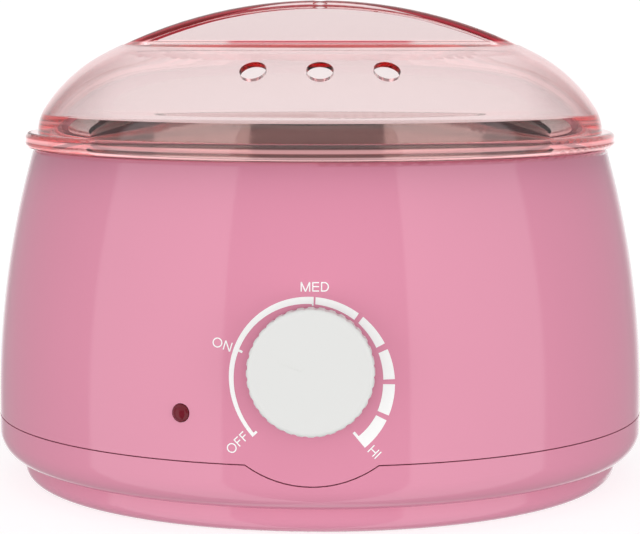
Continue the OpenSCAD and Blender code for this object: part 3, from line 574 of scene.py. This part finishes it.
def letter(bm, sign, x, h, stroke, place):
    """Draws one capital letter and gives how wide it is."""
    w = LETTER_W[sign] * h
    s = stroke / 2
    if sign == "O":
        oval(bm, (x + w / 2, h / 2), (w / 2, h / 2 + s / 2), stroke, place)
        return w
    bar(bm, (x + s, 0), (x + s, h), stroke, place)
    if sign == "F":
        bar(bm, (x, h - s), (x + w, h - s), stroke, place)
        bar(bm, (x, h * CROSSBAR), (x + w * F_ARM, h * CROSSBAR), stroke, place)
    elif sign == "N":
        bar(bm, (x + s, h), (x + w - s, 0), stroke, place)
        bar(bm, (x + w - s, 0), (x + w - s, h), stroke, place)
    elif sign == "M":
        bar(bm, (x + s, h), (x + w / 2, 0), stroke, place)
        bar(bm, (x + w / 2, 0), (x + w - s, h), stroke, place)
        bar(bm, (x + w - s, 0), (x + w - s, h), stroke, place)
    elif sign == "E":
        for level in (s, h * CROSSBAR, h - s):
            bar(bm, (x, level), (x + w, level), stroke, place)
    elif sign == "D":
        bar(bm, (x, s), (x + w * D_FLAT, s), stroke, place)
        bar(bm, (x, h - s), (x + w * D_FLAT, h - s), stroke, place)
        oval(bm, (x + w * D_FLAT, h / 2), (w * (1 - D_FLAT), h / 2), stroke, place, -90, 90)
    elif sign == "H":
        bar(bm, (x + w - s, 0), (x + w - s, h), stroke, place)
        bar(bm, (x, h * H_CROSSBAR), (x + w, h * H_CROSSBAR), stroke, place)
    return w


def word(bm, text, middle, turn):
    """Draws a word with its middle at a point of the dial's plane."""
    total = sum(LETTER_W[c] * LETTER_H for c in text) + LETTER_GAP * (len(text) - 1)
    cos, sin = math.cos(math.radians(turn)), math.sin(math.radians(turn))

    def place(p):
        x, y = p[0] - total / 2, p[1] - LETTER_H / 2
        return (middle[0] + x * cos - y * sin, middle[1] + x * sin + y * cos)

    x = 0.0
    for sign in text:
        x += letter(bm, sign, x, LETTER_H, LETTER_STROKE, place) + LETTER_GAP


def printed(name, bm):
    """Makes an object of white print on the housing from a mesh."""
    bmesh.ops.recalc_face_normals(bm, faces=bm.faces)
    mesh = bpy.data.meshes.new(name)
    bm.to_mesh(mesh)
    bm.free()
    mesh.materials.append(looks["print_white"].material)
    mesh.shade_smooth()
    obj = bpy.data.objects.new(name, mesh)
    scene.collection.objects.link(obj)
    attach(obj, "root")


bm = bmesh.new()
for band in RING_BANDS:
    ring_band(bm, *band)
for angle, length, width in RING_BARS:
    bar(bm, on_ring(angle, 0.0), on_ring(angle, length), width)
printed("dial_ring", bm)
for name, text, middle, turn in DIAL_WORDS:
    bm = bmesh.new()
    word(bm, text, middle, turn)
    printed(name, bm)


# Camera, as far and as high as the rings of the lid, seam and foot say

AZIMUTH = math.radians(1.3)
DISTANCE = 0.586
HEIGHT = 0.121
PITCH = math.radians(6.2)
FOCAL_WIDTHS = 2085 / 640
SENSOR = 36.0
camera_data = bpy.data.cameras.new("camera")
camera_data.sensor_fit = "HORIZONTAL"
camera_data.sensor_width = SENSOR
camera_data.lens = SENSOR * FOCAL_WIDTHS
camera_data.clip_start = 0.01
camera = bpy.data.objects.new("camera", camera_data)
camera.location = (DISTANCE * math.sin(AZIMUTH), -DISTANCE * math.cos(AZIMUTH), HEIGHT)
camera.rotation_euler = (math.pi / 2 - PITCH, 0, AZIMUTH)
scene.collection.objects.link(camera)
scene.camera = camera


# Floor: it only shows, and the light that it would throw back up is part of the studio's fill

FLOOR_R = 12.0
FLOOR_SIDES = 96
FLOOR_GREY = (0.45, 0.45, 0.45)
FLOOR_GLOW = 0.75
bm = bmesh.new()
bmesh.ops.create_circle(bm, cap_ends=True, radius=FLOOR_R, segments=FLOOR_SIDES)
mesh = bpy.data.meshes.new("floor")
bm.to_mesh(mesh)
bm.free()
paper = Shader("floor")
cloud = paper.span(paper.noise(40.0), 0.0, 1.0)
paper.feed(paper.mixed(cloud, shade(FLOOR_GREY, 0.99), shade(FLOOR_GREY, 1.01)), "Base Color")
paper.set(Roughness=0.9, Specular_IOR_Level=0.1, Emission_Color=(1, 1, 1, 1), Emission_Strength=FLOOR_GLOW)
mesh.materials.append(paper.material)
floor = bpy.data.objects.new("floor", mesh)
scene.collection.objects.link(floor)
floor.visible_glossy = False
floor.visible_transmission = False
floor.visible_diffuse = False
floor.visible_shadow = False


# Flag round the lid's rim: it isn't seen itself, and keeps the light from above off the top of the wall

FLAG_IN = 0.080
FLAG_OUT = 0.0882
FLAG_Z = 0.0922
FLAG_SIDES = 96
bm = bmesh.new()
rings = []
for radius in (FLAG_IN, FLAG_OUT):
    turns = [2 * math.pi * i / FLAG_SIDES for i in range(FLAG_SIDES)]
    rings.append([bm.verts.new((radius * math.cos(t), radius * math.sin(t), FLAG_Z)) for t in turns])
inner, outer = rings
for i in range(FLAG_SIDES):
    bm.faces.new((inner[i - 1], outer[i - 1], outer[i], inner[i]))
mesh = bpy.data.meshes.new("flag")
bm.to_mesh(mesh)
bm.free()
mesh.materials.append(looks["pad_rubber"].material)
flag = bpy.data.objects.new("flag", mesh)
scene.collection.objects.link(flag)
flag.visible_camera = False
flag.visible_glossy = False
flag.visible_transmission = False


# Studio and its light

# The studio as the gloss shows it: brightness ahead, of a soft box, beside, of a backdrop and of a ceiling,
# and the angles from the front, or up from level, over which one gives way to the next
DARK = 0.36
BOX = 1.4
SIDE = 0.5
BACK = 1.05
CEILING = 1.0
BOX_STARTS = (31.5, 32.5)
BOX_ENDS = (83.5, 86.5)
BACK_STARTS = (150.0, 165.0)
CEILING_STARTS = (26.0, 40.0)

# Soft light that falls on the object: from ahead near level and higher up, from behind, from above and off
# the table, and the angles over which one gives way to the next
FILL_LOW = 1.98
FILL_FRONT = 0.85
FILL_BACK = 0.3
FILL_TOP = 0.55
FILL_TABLE = 0.25
LOW_FADES = (24.0, 10.0)
FRONT_FADES = (145.0, 5.0)
TOP_STARTS = (25.0, 45.0)
TABLE_STARTS = (-16.0, -34.0)

# A ray that runs straight on, only passing through clear pieces, counts one bounce when it meets the world
STRAIGHT = 1.5

world = bpy.data.worlds.new("studio")
scene.world = world
world.use_nodes = True
tree = world.node_tree
tree.nodes.clear()
output = tree.nodes.new("ShaderNodeOutputWorld")
background = tree.nodes.new("ShaderNodeBackground")
tree.links.new(background.outputs[0], output.inputs["Surface"])
coords = tree.nodes.new("ShaderNodeTexCoord")
split = tree.nodes.new("ShaderNodeSeparateXYZ")
tree.links.new(coords.outputs["Generated"], split.inputs[0])


def world_math(operation, a, b=None):
    """Result of an operation on one or two numbers or sockets of the world."""
    node = tree.nodes.new("ShaderNodeMath")
    node.operation = operation
    for i, value in enumerate((a, b)):
        if isinstance(value, (int, float)):
            node.inputs[i].default_value = value
        elif value is not None:
            tree.links.new(value, node.inputs[i])
    return node.outputs[0]


def world_step(value, marks):
    """Soft step from 0 to 1 between two marks, which may run downwards."""
    node = tree.nodes.new("ShaderNodeMapRange")
    node.interpolation_type = "SMOOTHSTEP"
    node.inputs["From Min"].default_value = marks[0]
    node.inputs["From Max"].default_value = marks[1]
    tree.links.new(value, node.inputs["Value"])
    return node.outputs[0]


def toward(base, share, goal):
    """Moves a brightness toward another by a share."""
    return world_math("ADD", base, world_math("MULTIPLY", share, world_math("SUBTRACT", goal, base)))


front = world_math("MULTIPLY", split.outputs["Y"], -1.0)
angle = world_math("ABSOLUTE", world_math("ARCTAN2", split.outputs["X"], front))
turn = world_math("MULTIPLY", angle, 180 / math.pi)
rise = world_math("MULTIPLY", world_math("ARCSINE", split.outputs["Z"]), 180 / math.pi)

box_in = world_math("MULTIPLY", world_step(turn, BOX_STARTS), BOX - DARK)
box_out = world_math("MULTIPLY", world_step(turn, BOX_ENDS), SIDE - BOX)
backdrop = world_math("MULTIPLY", world_step(turn, BACK_STARTS), BACK - SIDE)
walls = world_math("ADD", world_math("ADD", box_in, DARK), world_math("ADD", box_out, backdrop))
studio = toward(walls, world_step(rise, CEILING_STARTS), CEILING)

low = world_math("MULTIPLY", world_step(rise, LOW_FADES), FILL_LOW - FILL_FRONT)
ahead = world_math("ADD", low, FILL_FRONT - FILL_BACK)
around = world_math("ADD", world_math("MULTIPLY", world_step(turn, FRONT_FADES), ahead), FILL_BACK)
fill_above = toward(around, world_step(rise, TOP_STARTS), FILL_TOP)
fill = toward(fill_above, world_step(rise, TABLE_STARTS), FILL_TABLE)

# Straight views, also through the clear lid, meet plain white, the gloss meets the studio, and the rest
# meets the fill
path = tree.nodes.new("ShaderNodeLightPath")
bent = world_math("SUBTRACT", path.outputs["Ray Depth"], path.outputs["Transmission Depth"])
seen = world_math("MAXIMUM", path.outputs["Is Camera Ray"], path.outputs["Is Transmission Ray"])
plain = world_math("MULTIPLY", seen, world_math("LESS_THAN", bent, STRAIGHT))
sharp = world_math("MAXIMUM", path.outputs["Is Glossy Ray"], path.outputs["Is Singular Ray"])
shown = world_math("MAXIMUM", sharp, path.outputs["Is Transmission Ray"])
lit = toward(fill, shown, studio)
tree.links.new(toward(lit, plain, BACK), background.inputs["Strength"])
background.inputs["Color"].default_value = (1, 1, 1, 1)


# Light that runs long ways inside the clear lid turns deep red only if it is followed far enough
scene.cycles.max_bounces = 48
scene.cycles.glossy_bounces = 32
scene.cycles.transmission_bounces = 40
scene.view_settings.view_transform = "Standard"
scene.view_settings.look = "None"
